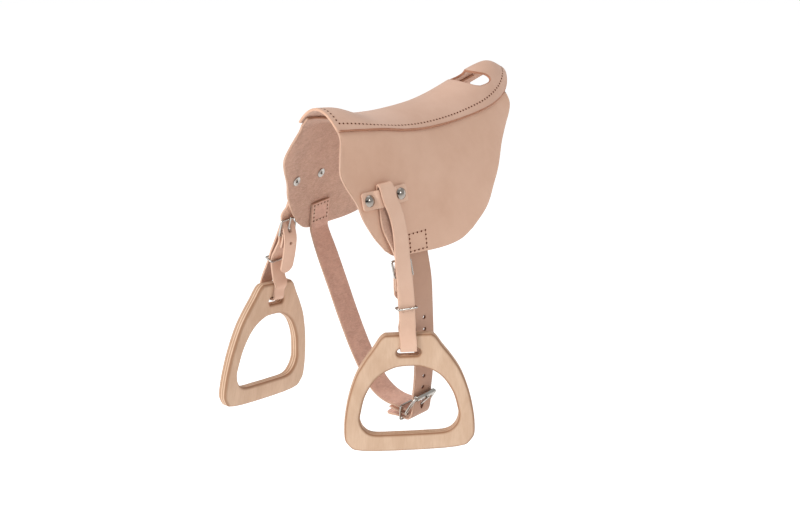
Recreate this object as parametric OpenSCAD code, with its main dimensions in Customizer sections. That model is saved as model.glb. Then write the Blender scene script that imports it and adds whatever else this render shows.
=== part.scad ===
// A small leather pony saddle: an arched seat sewn over two flaps, a riveted tab on each flap
// that carries a buckled stirrup leather and a plywood stirrup, and a buckled girth below.
// X is sideways (+X is the saddle's left), -Y is the pommel, +Z is up.
// The origin is the underside of the seat's waist, where the saddle sits on its rack.

/* [Leather] */
// Thickness of the seat and flap leather
hide_t = 3; // [2.5:0.25:3.25]
// Thickness of the strap leather
strap_t = 2.5; // [2:0.25:2.5]
// Width of the stirrup leathers
leather_w = 18; // [16:1:18]
// Width of the girth strap and its billet
girth_w = 30; // [26:1:30]
// Distance of the seat's stitching from its edge
seam_in = 6; // [5:0.5:7]
// Distance between stitches
stitch_pitch = 5; // [4:0.5:6]
/* [Stirrups] */
// Thickness of the plywood
ply_t = 12; // [10:1:12]
// Height of a stirrup
stirrup_h = 141; // [134:1:143]
/* [Metal] */
// Diameter of the rivet caps
cap_d = 12.5; // [10:0.5:13]
// Distance between the two rivets of a tab
rivet_pitch = 42; // [40:1:44]
// Wire radius of the stirrup buckles
buckle_r = 1.2; // [1:0.1:1.3]
// Wire radius of the girth buckle
girth_buckle_r = 1.6; // [1.4:0.1:1.7]
// Outer radius of the girth buckle's roller
roller_r = 3; // [2.6:0.1:3.2]
// Wire radius of the strap keepers
keeper_r = 1; // [0.8:0.1:1.1]

/* [Hidden] */

tan = [0.80, 0.66, 0.57];
flesh = [0.71, 0.56, 0.48];
pale = [0.86, 0.70, 0.62];
birch = [0.85, 0.72, 0.61];
nickel = [0.78, 0.78, 0.80];
thread = [0.93, 0.88, 0.80];

gap = 0.3;          // air between pieces that only lie near each other
skin = 0.05;        // air between pieces that are sewn or riveted together

// ---- Curves ----
function unit(v) = v / norm(v);
function lerp(a, b, t) = a + (b - a) * t;
function span(p, x, i = 0) = i >= len(p) - 2 || x < p[i + 1][0] ? i : span(p, x, i + 1);
function rise(p, i) = let (a = p[max(i - 1, 0)], b = p[min(i + 1, len(p) - 1)])
    (b[1] - a[1]) / (b[0] - a[0]);
// Height at x of the smooth curve through points [x, height]
function at(p, x) = let (i = span(p, x), h = p[i + 1][0] - p[i][0], t = (x - p[i][0]) / h)
    (2 * t ^ 3 - 3 * t ^ 2 + 1) * p[i][1] + (t ^ 3 - 2 * t ^ 2 + t) * h * rise(p, i)
    + (3 * t ^ 2 - 2 * t ^ 3) * p[i + 1][1] + (t ^ 3 - t ^ 2) * h * rise(p, i + 1);
function blend4(a, b, c, d, t) = 0.5 * (2 * b + (c - a) * t + (2 * a - 5 * b + 4 * c - d) * t ^ 2
    + (3 * b - a - 3 * c + d) * t ^ 3);
// Point at fraction t of the smooth curve through the points p
function on(p, t) = let (m = len(p) - 1, s = min(floor(t * m), m - 1))
    blend4(s == 0 ? 2 * p[0] - p[1] : p[s - 1], p[s], p[s + 1],
        s == m - 1 ? 2 * p[m] - p[m - 1] : p[s + 2], t * m - s);
function smooth(p, n) = let (k = n * (len(p) - 1)) [for (i = [0:k]) on(p, i / k)];
function runs(p) = [for (i = 0, s = 0; i < len(p);
    s = s + (i + 1 < len(p) ? norm(p[i + 1] - p[i]) : 0), i = i + 1) s];
function place(s, d, i = 1) = i >= len(s) - 1 || s[i] >= d ? i : place(s, d, i + 1);
function walk(p, s, d) = let (i = place(s, d)) lerp(p[i - 1], p[i], (d - s[i - 1]) / (s[i] - s[i - 1]));
// The path p cut into equal steps of about the given pitch
function steps(p, pitch) = let (s = runs(p), n = round(s[len(s) - 1] / pitch))
    [for (i = [0:n]) walk(p, s, s[len(s) - 1] * min(i / n, 0.9999))];

// ---- Seat surface ----
seat_front = -110;
cantle_y = 100;     // where the round rear end starts
cantle_len = 90;
cantle_w = 42.5;
// Half width, height of the edge and height of the centre line along the seat
seat_half = [[-110, 29.5], [-82, 35], [-50, 39.5], [-20, 41.8], [20, 42.8], [60, 43], [100, cantle_w]];
seat_edge = [[-110, -0.6], [-82, -3.4], [-50, -7], [-20, -13], [15, -17], [60, -17.3], [100, -15],
    [131, -11.3], [159, -5], [178, 5.5], [190, 17]];
seat_crown = [[-110, 18.5], [-82, 14], [-50, 2.5], [-20, -0.8], [10, -1.3], [50, 0.3], [76, 4.5],
    [104, 12], [131, 20.5], [150, 26], [168, 27.5], [190, 17.5]];
function half_w(y) = y < cantle_y ? at(seat_half, y)
    : cantle_w * sqrt(max(1 - ((y - cantle_y) / cantle_len) ^ 2, 0.0008));
// Point of the seat's top: f runs across from -1 to 1
function seat_pt(f, y) = [f * half_w(y), y,
    at(seat_edge, y) + (at(seat_crown, y) - at(seat_edge, y)) * (1 - f * f)];
function seat_n(f, y) = unit(cross(seat_pt(f + 0.01, y) - seat_pt(f - 0.01, y),
    seat_pt(f, y + 0.5) - seat_pt(f, y - 0.5)));
seat_rows = [for (i = [0:20]) lerp(seat_front, cantle_y, i / 20),
    for (a = [7:7:84]) cantle_y + cantle_len * sin(a), cantle_y + cantle_len * sin(88)];

// ---- Flap surface ----
flap_foot_z = -140;
// Half width of the flaps at the height of their feet
flap_wide = [[-120, 64.7], [-107, 66.2], [-48, 74], [0, 79.2], [50, 81.7], [95, 80.7], [125, 77.7],
    [150, 72.7], [168, 69.2]];
lap = 8;            // how far a flap reaches under the seat
flap_front_y = -107;
flap_rear_y = 164;
function spread(z) = -0.481 * z - 0.00141 * min(z, 0) ^ 2;
// Outside of a flap: flush under the seat's edge, spreading to its foot
function flap_x(y, z) = let (q = min(max(y, -108), 150), top = spread(at(seat_edge, q)))
    lerp(half_w(q) - hide_t, at(flap_wide, y), (spread(z) - top) / (spread(flap_foot_z) - top));
function flap_n(y, z) = unit([1, (flap_x(y - 1, z) - flap_x(y + 1, z)) / 2,
    (flap_x(y, z - 1) - flap_x(y, z + 1)) / 2]);
// Point a distance off the outside of a flap
function off_flap(y, z, off) = [flap_x(y, z), y, z] + off * flap_n(y, z);
function flap_edge(y) = [y, at(seat_edge, y) - 2.6];
flap_front = [flap_edge(flap_front_y), [-108, -12], [-115, -27], [-120, -42], [-117, -55],
    [-108, -74], [-103, -92], [-93, -112], [-80, -129.5]];
flap_rear = [flap_edge(flap_rear_y), [164.5, -17], [155, -29], [138.5, -42], [125, -55],
    [109, -77], [94.5, -93.5], [76.5, -114], [48, -132]];
flap_foot = [[-80, -129.5], [-65, -138], [-25, -141], [5, -142], [29, -139.5], [48, -132]];
// Patch between the flap's four edges: u runs back, v runs down
function flap_yz(u, v) = let (t = flap_edge(lerp(flap_front_y, flap_rear_y, u)))
    (1 - v) * t + v * on(flap_foot, u) + (1 - u) * on(flap_front, v) + u * on(flap_rear, v)
    - (1 - u) * ((1 - v) * flap_front[0] + v * flap_foot[0])
    - u * ((1 - v) * flap_rear[0] + v * flap_foot[5]);
function lap_pt(u, s) = let (y = lerp(flap_front_y, flap_rear_y, u), f = 1 - s / half_w(y))
    seat_pt(f, y) - (hide_t + 5 * skin) * seat_n(f, y);
function flap_pt(u, v) = let (q = flap_yz(u, v)) [flap_x(q[0], q[1]), q[0], q[1]];

// ---- Solids from grids and paths ----
function grid_n(g, i, j) = unit(cross(g[i][min(j + 1, len(g[0]) - 1)] - g[i][max(j - 1, 0)],
    g[min(i + 1, len(g) - 1)][j] - g[max(i - 1, 0)][j]));
function under(g, t) = [for (i = [0:len(g) - 1]) [for (j = [0:len(g[0]) - 1])
    g[i][j] - t * grid_n(g, i, j)]];
// Closed sheet between an outer grid a and an inner grid b
module sheet(a, b) {
    r = len(a) - 1;
    c = len(a[0]) - 1;
    m = (r + 1) * (c + 1);
    function id(k, i, j) = k * m + i * (c + 1) + j;
    function quad(p, q, s, t) = [[p, q, s], [p, s, t]];
    faces = [
        for (i = [0:r - 1], j = [0:c - 1])
            each quad(id(0, i, j), id(0, i + 1, j), id(0, i + 1, j + 1), id(0, i, j + 1)),
        for (i = [0:r - 1], j = [0:c - 1])
            each quad(id(1, i, j), id(1, i, j + 1), id(1, i + 1, j + 1), id(1, i + 1, j)),
        for (j = [0:c - 1]) each quad(id(0, 0, j), id(0, 0, j + 1), id(1, 0, j + 1), id(1, 0, j)),
        for (j = [0:c - 1]) each quad(id(0, r, j), id(1, r, j), id(1, r, j + 1), id(0, r, j + 1)),
        for (i = [0:r - 1]) each quad(id(0, i + 1, 0), id(0, i, 0), id(1, i, 0), id(1, i + 1, 0)),
        for (i = [0:r - 1]) each quad(id(0, i, c), id(0, i + 1, c), id(1, i + 1, c), id(1, i, c))];
    polyhedron([for (g = [a, b], row = g, p = row) p], faces);
}
// Strap along a path, its width turned along the directions in wide; a tip is a rounded end
module strap(path, wide, w, tip = 0) {
    n = len(path) - 1;
    s = runs(path);
    t = [for (i = [0:n]) unit(path[min(i + 1, n)] - path[max(i - 1, 0)])];
    across = [for (i = [0:n]) let (d = on(wide, i / n)) unit(d - (d * t[i]) * t[i])];
    up = [for (i = [0:n]) cross(across[i], t[i])];
    h = [for (i = [0:n]) let (e = s[n] - s[i])
        w / 2 * (e < tip ? max(sqrt(1 - (1 - e / tip) ^ 2), 0.3) : 1)];
    sheet([for (i = [0:n]) [for (k = [-1, 1]) path[i] + k * h[i] * across[i] + up[i] * strap_t / 2]],
        [for (i = [0:n]) [for (k = [-1, 1]) path[i] + k * h[i] * across[i] - up[i] * strap_t / 2]]);
}
module aim(p, n) translate(p) rotate([0, acos(n[2]), atan2(n[1], n[0])]) children();
module rod(p, q, r) aim(p, unit(q - p)) cylinder(h = norm(q - p), r = r, $fn = 24);
// Rounded rectangular loop of wire with centre c and half sides a and b
module wire(c, a, b, r) {
    u = unit(a);
    v = unit(b);
    n = cross(u, v);
    bend = 1.6 * r;
    size = [norm(a), norm(b)];
    multmatrix([[u[0], v[0], n[0], c[0]], [u[1], v[1], n[1], c[1]], [u[2], v[2], n[2], c[2]]])
        for (k = [0:3]) rotate(90 * k) {
            w = size[k % 2];
            h = size[(k + 1) % 2] - bend;
            translate([w - bend, h, 0]) rotate_extrude(angle = 90, $fn = 48)
                translate([bend, 0]) circle(r, $fn = 24);
            translate([w, -h, 0]) rotate([-90, 0, 0]) cylinder(h = 2 * h, r = r, $fn = 24);
        }
}
// Threads between the holes of a row of stitches
thread_r = 0.45;
hole_gap = 1.6;
module threads(p) for (i = [0:len(p) - 2]) {
    d = unit(p[i + 1] - p[i]);
    rod(p[i] + d * hole_gap / 2, p[i + 1] - d * hole_gap / 2, thread_r);
}

// ---- Seat ----
// Front and rear edges of the grip hole, [distance from the centre line, y]
grip_front = [[0, 109], [8, 110.4], [15, 114.2], [20.5, 119], [23.6, 125]];
grip_rear = [[24.2, 132], [23.8, 140], [21.5, 145], [17, 142.8], [12, 137.4], [6, 133], [0, 131.5]];
module grip_hole() {
    half = concat(smooth(grip_front, 4), smooth(grip_rear, 4));
    linear_extrude(60) polygon(concat(half,
        [for (i = [len(half) - 2:-1:1]) [-half[i][0], half[i][1]]]));
}
module seat() {
    top = [for (y = seat_rows) [for (k = [0:22]) seat_pt(k / 11 - 1, y)]];
    color(tan) difference() {
        sheet(top, under(top, hide_t));
        grip_hole();
    }
}
function rim(y) = let (d = unit([half_w(y + 0.1) - half_w(y - 0.1), 0.2]),
    x = max(half_w(y) - seam_in * d[1], 0), yy = y + seam_in * d[0])
    seat_pt(x / half_w(yy), yy) + (thread_r + 2 * skin) * seat_n(x / half_w(yy), yy);
rim_line = [for (i = [0:80]) rim(lerp(seat_front + seam_in, cantle_y, i / 80)),
    for (a = [3:3:75]) rim(cantle_y + cantle_len * sin(a))];
module seat_stitching() color(thread) threads(steps(rim_line, stitch_pitch));
module seat_stitching_front() {
    y = seat_front + seam_in;
    f = 1 - (seam_in + stitch_pitch) / half_w(y);
    color(thread) threads(steps([for (i = [0:40]) let (g = lerp(-f, f, i / 40))
        seat_pt(g, y) + (thread_r + 4 * skin) * seat_n(g, y)], stitch_pitch));
}

// ---- Flaps ----
tab_z = -73.5;
tab_y = -72.75;
tab_n = flap_n(tab_y, tab_z);
tab_along = unit([flap_x(tab_y + 1, tab_z) - flap_x(tab_y - 1, tab_z), 2, 0]);
tab_up = cross(tab_n, tab_along);
tab_o = off_flap(tab_y, tab_z, 0);
function tab_pt(s, up, off) = tab_o + s * tab_along + up * tab_up + off * tab_n;
rivet_s = [-rivet_pitch / 2, rivet_pitch / 2];
post_r = 2.4;
module flap() {
    main = [0.035, 0.07, 0.12, 0.18, 0.24, 0.3, 0.37, 0.44, 0.51, 0.58, 0.65, 0.72, 0.79, 0.86,
        0.93, 1];
    rows = [for (i = [0:34]) [lap_pt(i / 34, lap), lap_pt(i / 34, lap / 2), lap_pt(i / 34, 0),
        for (v = main) flap_pt(i / 34, v)]];
    color(tan) difference() {
        sheet(rows, under(rows, hide_t));
        for (s = rivet_s) aim(tab_pt(s, 0, -2 * hide_t), tab_n)
            cylinder(h = 4 * hide_t, r = post_r + skin, $fn = 32);
    }
}
// The girth's ends are sewn inside the flaps with a box of stitches, [left, right]
sewn_y = [-36, -47];
sewn_z = [-127.5, -121.5];
box = [11.5, 9.5];
strap_off = hide_t + 2 * gap + strap_t / 2;
module girth_stitching(k) {
    c = [for (m = [[-1, -1], [1, -1], [1, 1], [-1, 1]]) [sewn_y[k] + m[0] * box[0], sewn_z[k] + m[1] * box[1]]];
    color(thread) for (i = [0:3], off = [thread_r + skin, -strap_off - strap_t / 2 - thread_r - 3 * skin])
        threads(steps([for (j = [0:10]) let (q = lerp(c[i], c[(i + 1) % 4], j / 10))
            off_flap(q[0], q[1], off)], stitch_pitch));
}

// ---- Tabs and rivets ----
tab_w = 19;
tab_len = 60;
tab_rise = gap + strap_t + gap + strap_t / 2;   // middle of the tab where it bridges the leather
tab_low = strap_t / 2 + skin;
module keeper_tab() {
    e = tab_len / 2;
    half = [[0, tab_rise + 0.1], [5, tab_rise + 0.05], [10.9, tab_rise - 0.05], [13, tab_low + 1.5],
        [15, tab_low + 0.25], [20, tab_low + 0.1], [25, tab_low + 0.05], [e, tab_low]];
    p = smooth([for (i = [7:-1:1]) tab_pt(-half[i][0], 0, half[i][1]),
        for (q = half) tab_pt(q[0], 0, q[1])], 4);
    color(pale) difference() {
        strap(p, [tab_up, tab_up], tab_w);
        for (s = rivet_s) aim(tab_pt(s, 0, -1), tab_n) cylinder(h = 8, r = post_r + skin, $fn = 32);
        for (k = [-1, 1], m = [-1, 1]) aim(tab_pt(k * e, m * tab_w / 2, -2), tab_n)
            rotate(atan2(tab_along[1], tab_along[0]) + 45) cube([7, 7, 30], center = true);
    }
}
cap_h = 2.8;
cap_base = strap_t + 0.6;
module rivet_caps() color(nickel) for (s = rivet_s) aim(tab_pt(s, 0, cap_base), tab_n) {
    ball = (cap_d ^ 2 / 4 + cap_h ^ 2) / (2 * cap_h);
    intersection() {
        translate([0, 0, cap_h - ball]) sphere(r = ball, $fn = 64);
        cylinder(h = cap_h, d = cap_d, $fn = 64);
    }
}
post_base = hide_t + 1.3;      // how far a rivet's inner head lies behind the outside of the flap
module rivet_posts() color(nickel) for (s = rivet_s) aim(tab_pt(s, 0, -post_base), tab_n)
    difference() {
        union() {
            cylinder(h = post_base + cap_base - skin, r = post_r, $fn = 32);
            cylinder(h = 0.8, r = 5.5, $fn = 48);
        }
        translate([0, 0, -1]) cylinder(h = 4.5, r = 1.5, $fn = 24);
    }

// ---- Stirrup leathers ----
// Each list is [left, right]; the right one is drawn mirrored, so its x counts outwards too.
function yaw(a) = [sin(a), cos(a), 0];
joint_z = -88;      // where the leather starts to swing, just under the tab
inner_off = gap + strap_t / 2;
outer_off = tab_rise + strap_t + 2 * gap + 0.3;
bight = [for (q = [[-68, -71.4, -72.6, -72.7, -72.8, -73.6, -74.6], [-75, -72.6, -71.8, -71.7, -71.7, -73.2, -76.6]])
    [off_flap(q[0], joint_z, outer_off), off_flap(q[1], -76, outer_off),
        off_flap(q[2], -64.5, outer_off), off_flap(q[3], -59.5, (inner_off + outer_off) / 2),
        off_flap(q[4], -64.5, inner_off), off_flap(q[5], -76, inner_off),
        off_flap(q[6], joint_z, inner_off + 0.45)]];
split = 1.5;          // air where a fixed, a swinging and a turning piece of leather meet
outer_run = [
    [bight[0][0] - [0, 0, split], [74.5, -67, -102], [77.5, -67, -118], [80, -67.5, -136],
        [82.3, -67, -156], [84, -66, -176], [85.4, -65.3, -203]],
    [bight[1][0] - [0, 0, split], [76.5, -82, -112], [84, -88, -140], [92, -92, -163],
        [94.5, -93, -172], [103, -95, -192]]];
outer_yaw = [[yaw(7), yaw(14), yaw(22), yaw(31)], [yaw(7), yaw(2), yaw(0)]];
buckle_top = [[73.1, -62.2, -142.5], [69, -91.9, -121.5]];
buckle_heel = [[76.6, -61.4, -160.5], [73, -92.7, -139.5]];
buckle_yaw = [19, 0];
fold = buckle_r + gap + strap_t / 2 + 0.1;   // radius of a chape folded round a bar
function beside(p, k, out, down) = p + [out * cos(buckle_yaw[k]), -out * sin(buckle_yaw[k]), -down];
function heel_pt(k, out, down) = beside(buckle_heel[k], k, out, down);
function top_pt(k, out, down) = beside(buckle_top[k], k, out, down);
// The tail crosses outside the buckle's top bar and inside its heel bar
function through(k) = [top_pt(k, 3.3, -5), top_pt(k, 3, 1), heel_pt(k, -4.4, -6), heel_pt(k, -5.9, 1),
    heel_pt(k, -5.7, 9)];
tail = [
    concat([bight[0][6] - [0, 0, split], off_flap(-74.6, -104, inner_off + 1), [74.1, -69, -122]], through(0),
        [heel_pt(0, -4.9, 18), heel_pt(0, -4.3, 28)]),
    concat([bight[1][6] - [0, 0, split], off_flap(-79.3, -97, inner_off + 1.2),
        off_flap(-83.5, -106, inner_off + 2.5)], through(1),
        [heel_pt(1, -2.5, 25), heel_pt(1, 4, 47)])];
tail_yaw = [[yaw(7), yaw(12), yaw(19), yaw(26)], [yaw(7), yaw(2), yaw(0)]];
chape = [
    [heel_pt(0, -1.3, 16), heel_pt(0, -2.2, 8), heel_pt(0, -fold, 0), heel_pt(0, 0, -fold),
        heel_pt(0, fold, 0), heel_pt(0, 2.7, 8), [80.6, -63.6, -176], [82.1, -63.6, -190],
        [82.2, -62.2, -203]],
    [heel_pt(1, 1, 15), heel_pt(1, -1.5, 8), heel_pt(1, -fold, 0), heel_pt(1, 0, -fold),
        heel_pt(1, fold, 0), heel_pt(1, 3.9, 8), [83.5, -93, -159], [89.6, -93.6, -172],
        [86.4, -95, -192]]];
chape_yaw = [[yaw(19), yaw(19), yaw(23), yaw(31)], [yaw(0), yaw(0), yaw(0)]];

// Stirrup: slot centre, yaw of its width and outward tilt
slot_at = [[83.3, -61.4, -245], [93, -99.5, -222]];
slot_yaw = [43, 9];
lean = [0, 2.5];
roll = [1, -10.5];    // turn in its own plane; the rear side hangs low where it is negative
slot_depth = 21.3;    // from the top edge
slot_len = 25;
slot_h = 8;
// Point in a stirrup's own frame: along its width, out of its face, up
function on_stirrup(k, s, out, up) = let (w = yaw(slot_yaw[k]), n = [w[1], -w[0], 0],
    c = cos(lean[k]), q = sin(lean[k]), a = s * cos(roll[k]) - up * sin(roll[k]),
    b = s * sin(roll[k]) + up * cos(roll[k]))
    slot_at[k] + a * w + out * (c * n + [0, 0, q]) + b * ([0, 0, c] - q * n);
bar_low = slot_h / 2 - gap - strap_t / 2;
face = ply_t / 2 + gap + strap_t / 2;
// Round the wood above the slot, from the outer face to the inner face
function round_bar(k) = [for (q = [[face, 14], [face, 8], [face + 0.3, 4.8], [7.1, 2.9], [5.2, bar_low],
    [-5.2, bar_low], [-7.1, 2.9], [-face - 0.05, 4.8], [-face, 8], [-face, 14]])
    on_stirrup(k, 0, q[0], q[1])];
foot_loop = [
    concat([outer_run[0][6] + [0.2, 0, -split], [87, -66.4, -211.5], on_stirrup(0, -1, face + 0.3, 24)],
        round_bar(0), [on_stirrup(0, -1, -face - 0.3, 24), [79.8, -59.6, -211.5],
        chape[0][8] + [0, 0.6, -split - 0.6]]),
    concat([outer_run[1][5] + [0.6, 0, -split], [107.5, -96, -205.5], [106.6, -97.2, -212.5],
        on_stirrup(1, 0, face + 3, 7.5)], [for (i = [2:9]) round_bar(1)[i]],
        [on_stirrup(1, 0, -face - 1.3, 21), chape[1][8] + [-0.3, 0, -split - 0.3]])];
slot_wide = [for (k = [0, 1]) on_stirrup(k, 1, 0, 0) - slot_at[k]];
foot_yaw = [concat([yaw(31)], [for (i = [1:5]) slot_wide[0]], [yaw(31)]),
    concat([yaw(0)], [for (i = [1:6]) slot_wide[1]], [yaw(0)])];

module leather_bight(k) color(pale) strap(smooth(bight[k], 6), [tab_along, tab_along], leather_w);
module leather_outer_run(k) color(pale) strap(smooth(outer_run[k], 5), outer_yaw[k], leather_w);
module tongue_slot(k) {
    translate(heel_pt(k, 0, 0)) rotate(-buckle_yaw[k]) cube([20, 4.6, 16], center = true);
}
module leather_tail(k) color(pale) difference() {
    strap(smooth(tail[k], 6), tail_yaw[k], leather_w, 12);
    // Oval hole for the buckle's tongue
    translate((buckle_top[k] + buckle_heel[k]) / 2 + [0, 0, 1]) rotate(-buckle_yaw[k])
        cube([20, 4.6, 14], center = true);
}
module leather_chape(k) color(pale) difference() {
    strap(smooth(chape[k], 6), chape_yaw[k], leather_w);
    tongue_slot(k);
}
module leather_foot_loop(k) color(pale) strap(smooth(foot_loop[k], 5), foot_yaw[k], leather_w);

// ---- Stirrup buckles, tongues and keepers ----
module stirrup_buckle(k) {
    a = yaw(buckle_yaw[k]) * (leather_w / 2 + 2);
    c = (buckle_top[k] + buckle_heel[k]) / 2;
    color(nickel) wire(c, a, (buckle_heel[k] - buckle_top[k]) / 2, buckle_r);
}
eye_in = buckle_r + 0.08;
eye_out = buckle_r + 1.7;
module buckle_tongue(k) {
    n = [cos(buckle_yaw[k]), -sin(buckle_yaw[k]), 0];
    d = unit(buckle_top[k] - buckle_heel[k]);
    tip = buckle_top[k] - n * (buckle_r * 2 + 0.25) + d * 1.5;
    color(nickel) difference() {
        union() {
            rod(buckle_heel[k] - yaw(buckle_yaw[k]) * 1.6, buckle_heel[k] + yaw(buckle_yaw[k]) * 1.6, eye_out);
            rod(buckle_heel[k] + d * 1.9 - n * 1.2, tip, 1);
            translate(tip) sphere(r = 1.1, $fn = 24);
        }
        rod(buckle_heel[k] - yaw(buckle_yaw[k]) * 8, buckle_heel[k] + yaw(buckle_yaw[k]) * 8, eye_in);
    }
}
keeper_at = [[83.5, -64.7, -193.5], [92, -93.3, -172]];
keeper_yaw = [26, 0];
keeper_lean = [4, 20];
keeper_deep = [4.6, 5.2];
module wire_keeper(k) {
    w = yaw(keeper_yaw[k]);
    n = [w[1], -w[0], 0];
    q = keeper_lean[k];
    color(nickel) wire(keeper_at[k], w * (leather_w / 2 + 1.9),
        (cos(q) * n + [0, 0, sin(q)]) * keeper_deep[k], keeper_r);
}

// ---- Stirrups ----
stirrup_half = [[0, 25], [3, 29.5], [15, 37.6], [29, 47.6], [46, 57.5], [72, 66.4], [97, 71.3],
    [115, 72.7], [126, 71.8], [133, 67.5]];
opening_half = [[41, 19.4], [47.5, 31], [57, 40], [73, 48.7], [91, 53.4], [101, 54.6], [112, 50.5]];
function both(p) = concat(p, [for (i = [len(p) - 1:-1:0]) [-p[i][0], p[i][1]]]);
function outline(p, n) = [for (i = [0:n]) let (d = lerp(p[0][0], p[len(p) - 1][0], i / n))
    [at(p, d), -d]];
module stirrup(k) {
    tall = stirrup_h / 141;
    w = slot_wide[k];
    n = on_stirrup(k, 0, 1, 0) - slot_at[k];
    up = on_stirrup(k, 0, 0, 1) - slot_at[k];
    color(birch) multmatrix([[w[0], up[0], n[0], slot_at[k][0]], [w[1], up[1], n[1], slot_at[k][1]],
            [w[2], up[2], n[2], slot_at[k][2]]])
        translate([0, slot_depth, -ply_t / 2]) linear_extrude(ply_t) difference() {
            scale([1, tall]) polygon(both(concat([[20, 0]], outline(stirrup_half, 28),
                [[61.5, -137.8], [52, -139.5], [38, -140.5], [15, -141]])));
            translate([0, -slot_depth]) {
                square([slot_len - slot_h, slot_h], center = true);
                for (m = [-1, 1]) translate([m * (slot_len - slot_h) / 2, 0]) circle(d = slot_h, $fn = 32);
            }
            polygon(both(concat([[9, -38.3]], outline(opening_half, 22), [[40, -119], [15, -120]])));
        }
}

// ---- Girth ----
girth_y = -33;
girth_bar = [69, girth_y, -331];        // heel bar of the buckle
roller_at = [83, girth_y, -308.5];
girth_fold = girth_buckle_r + gap + strap_t / 2;
// Middle of a girth end at height z, flat against the inside of its flap
function sewn(k, z) = let (p = off_flap(sewn_y[k], z, -strap_off)) [k == 1 ? -p[0] : p[0], p[1], p[2]];
strap_line = concat([for (z = [-109, -118, -127, -136]) sewn(1, z)],
    [[-67.5, -47, -146], [-56, -46, -173], [-41.8, -44, -207], [-27.8, -42, -241], [-11, -40, -276],
        [8, -38, -306], [23, -36, -320], [38, -34.5, -325.6], [52, girth_y, -326.7],
        [63, girth_y, -327.2]],
    [for (q = [[0.5, girth_fold], [girth_fold, 0], [0.3, -girth_fold], [-9, -1.4], [-19, -1],
        [-27, -0.2]]) girth_bar + [q[0], 0, q[1]]]);
billet_line = concat([for (z = [-116, -122, -129, -136]) sewn(0, z)],
    [[77, -35, -170], [80, -34, -205], [81, girth_y, -250], [80, girth_y, -285]],
    [for (q = [[77.9, -304], [77.8, -312], [77.2, -322], [75, -332], [70, -337.4], [60, -337.6],
        [46, -339.5], [30, -345]]) [q[0], girth_y, q[1]]]);
function flat(k) = let (n = flap_n(sewn_y[k], -122)) [(k == 1 ? 1 : -1) * n[1], n[0], 0];
strap_wide = [flat(1), flat(1), flat(1), [0, 1, 0], [0, 1, 0], [0, 1, 0], [0, 1, 0], [0, 1, 0]];
billet_wide = [flat(0), flat(0), [0, 1, 0], [0, 1, 0], [0, 1, 0], [0, 1, 0]];
prong_y = 4.6;
module girth_strap() color(flesh) difference() {
    strap(smooth(strap_line, 5), strap_wide, girth_w);
    translate(girth_bar) cube([16, prong_y, 14], center = true);
}
hole_z = [for (i = [0:6]) -299.7 + 14.2 * i];
module girth_billet() color(pale) difference() {
    strap(smooth(billet_line, 5), billet_wide, girth_w, 18);
    translate([77.5, girth_y, -319]) cube([14, prong_y, 16], center = true);
    for (z = hole_z) translate([70, girth_y, z]) rotate([0, 90, 0]) cylinder(h = 20, r = 1.7, $fn = 24);
}
side_bar = girth_w / 2 + 2.4;
module girth_buckle() color(nickel)
    wire((girth_bar + roller_at) / 2, [0, side_bar, 0], (girth_bar - roller_at) / 2, girth_buckle_r);
module girth_roller() color(nickel) translate(roller_at) rotate([90, 0, 0]) difference() {
    cylinder(h = girth_w - 0.6, r = roller_r, center = true, $fn = 48);
    cylinder(h = girth_w + 2, r = girth_buckle_r + 0.08, center = true, $fn = 48);
}
module girth_tongue() {
    d = unit(roller_at - girth_bar);
    n = [d[2], 0, -d[0]];
    tip = roller_at + n * (roller_r + 1.7) + d * 2;
    color(nickel) difference() {
        union() {
            translate(girth_bar) rotate([90, 0, 0]) cylinder(h = 3.2, r = girth_buckle_r + 1.7, center = true, $fn = 32);
            rod(girth_bar + d * 2.4 - n * 0.6, tip, 1.2);
            translate(tip) sphere(r = 1.3, $fn = 24);
        }
        translate(girth_bar) rotate([90, 0, 0])
            cylinder(h = 10, r = girth_buckle_r + 0.08, center = true, $fn = 32);
    }
}
module girth_wire_keeper() color(nickel)
    wire([61, girth_y, -332.4], [0, girth_w / 2 + 1.8, 0], [0.4, 0, 8.9], 1.2);

// Brings the underside of the seat's waist to the origin, and mirrors the right side's pieces
lift = hide_t - at(seat_crown, 0);
module put(right = 0) translate([0, 0, lift]) if (right == 1) mirror([1, 0, 0]) children(); else children();
put() seat();
put() flap();  // flap_left
put(1) flap();  // flap_right
put() seat_stitching();  // seat_stitching_left
put(1) seat_stitching();  // seat_stitching_right
put() seat_stitching_front();
put() girth_stitching(0);  // girth_stitching_left
put(1) girth_stitching(1);  // girth_stitching_right
put() keeper_tab();  // keeper_tab_left
put(1) keeper_tab();  // keeper_tab_right
put() rivet_caps();  // rivet_caps_left
put(1) rivet_caps();  // rivet_caps_right
put() rivet_posts();  // rivet_posts_left
put(1) rivet_posts();  // rivet_posts_right
put() leather_bight(0);  // leather_bight_left
put(1) leather_bight(1);  // leather_bight_right
put() leather_outer_run(0);  // leather_outer_run_left
put(1) leather_outer_run(1);  // leather_outer_run_right
put() leather_tail(0);  // leather_tail_left
put(1) leather_tail(1);  // leather_tail_right
put() leather_chape(0);  // leather_chape_left
put(1) leather_chape(1);  // leather_chape_right
put() leather_foot_loop(0);  // leather_foot_loop_left
put(1) leather_foot_loop(1);  // leather_foot_loop_right
put() stirrup(0);  // stirrup_left
put(1) stirrup(1);  // stirrup_right
put() stirrup_buckle(0);  // stirrup_buckle_left
put(1) stirrup_buckle(1);  // stirrup_buckle_right
put() buckle_tongue(0);  // buckle_tongue_left
put(1) buckle_tongue(1);  // buckle_tongue_right
put() wire_keeper(0);  // wire_keeper_left
put(1) wire_keeper(1);  // wire_keeper_right
put() girth_strap();
put() girth_billet();
put() girth_buckle();
put() girth_roller();
put() girth_tongue();
put() girth_wire_keeper();
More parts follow.
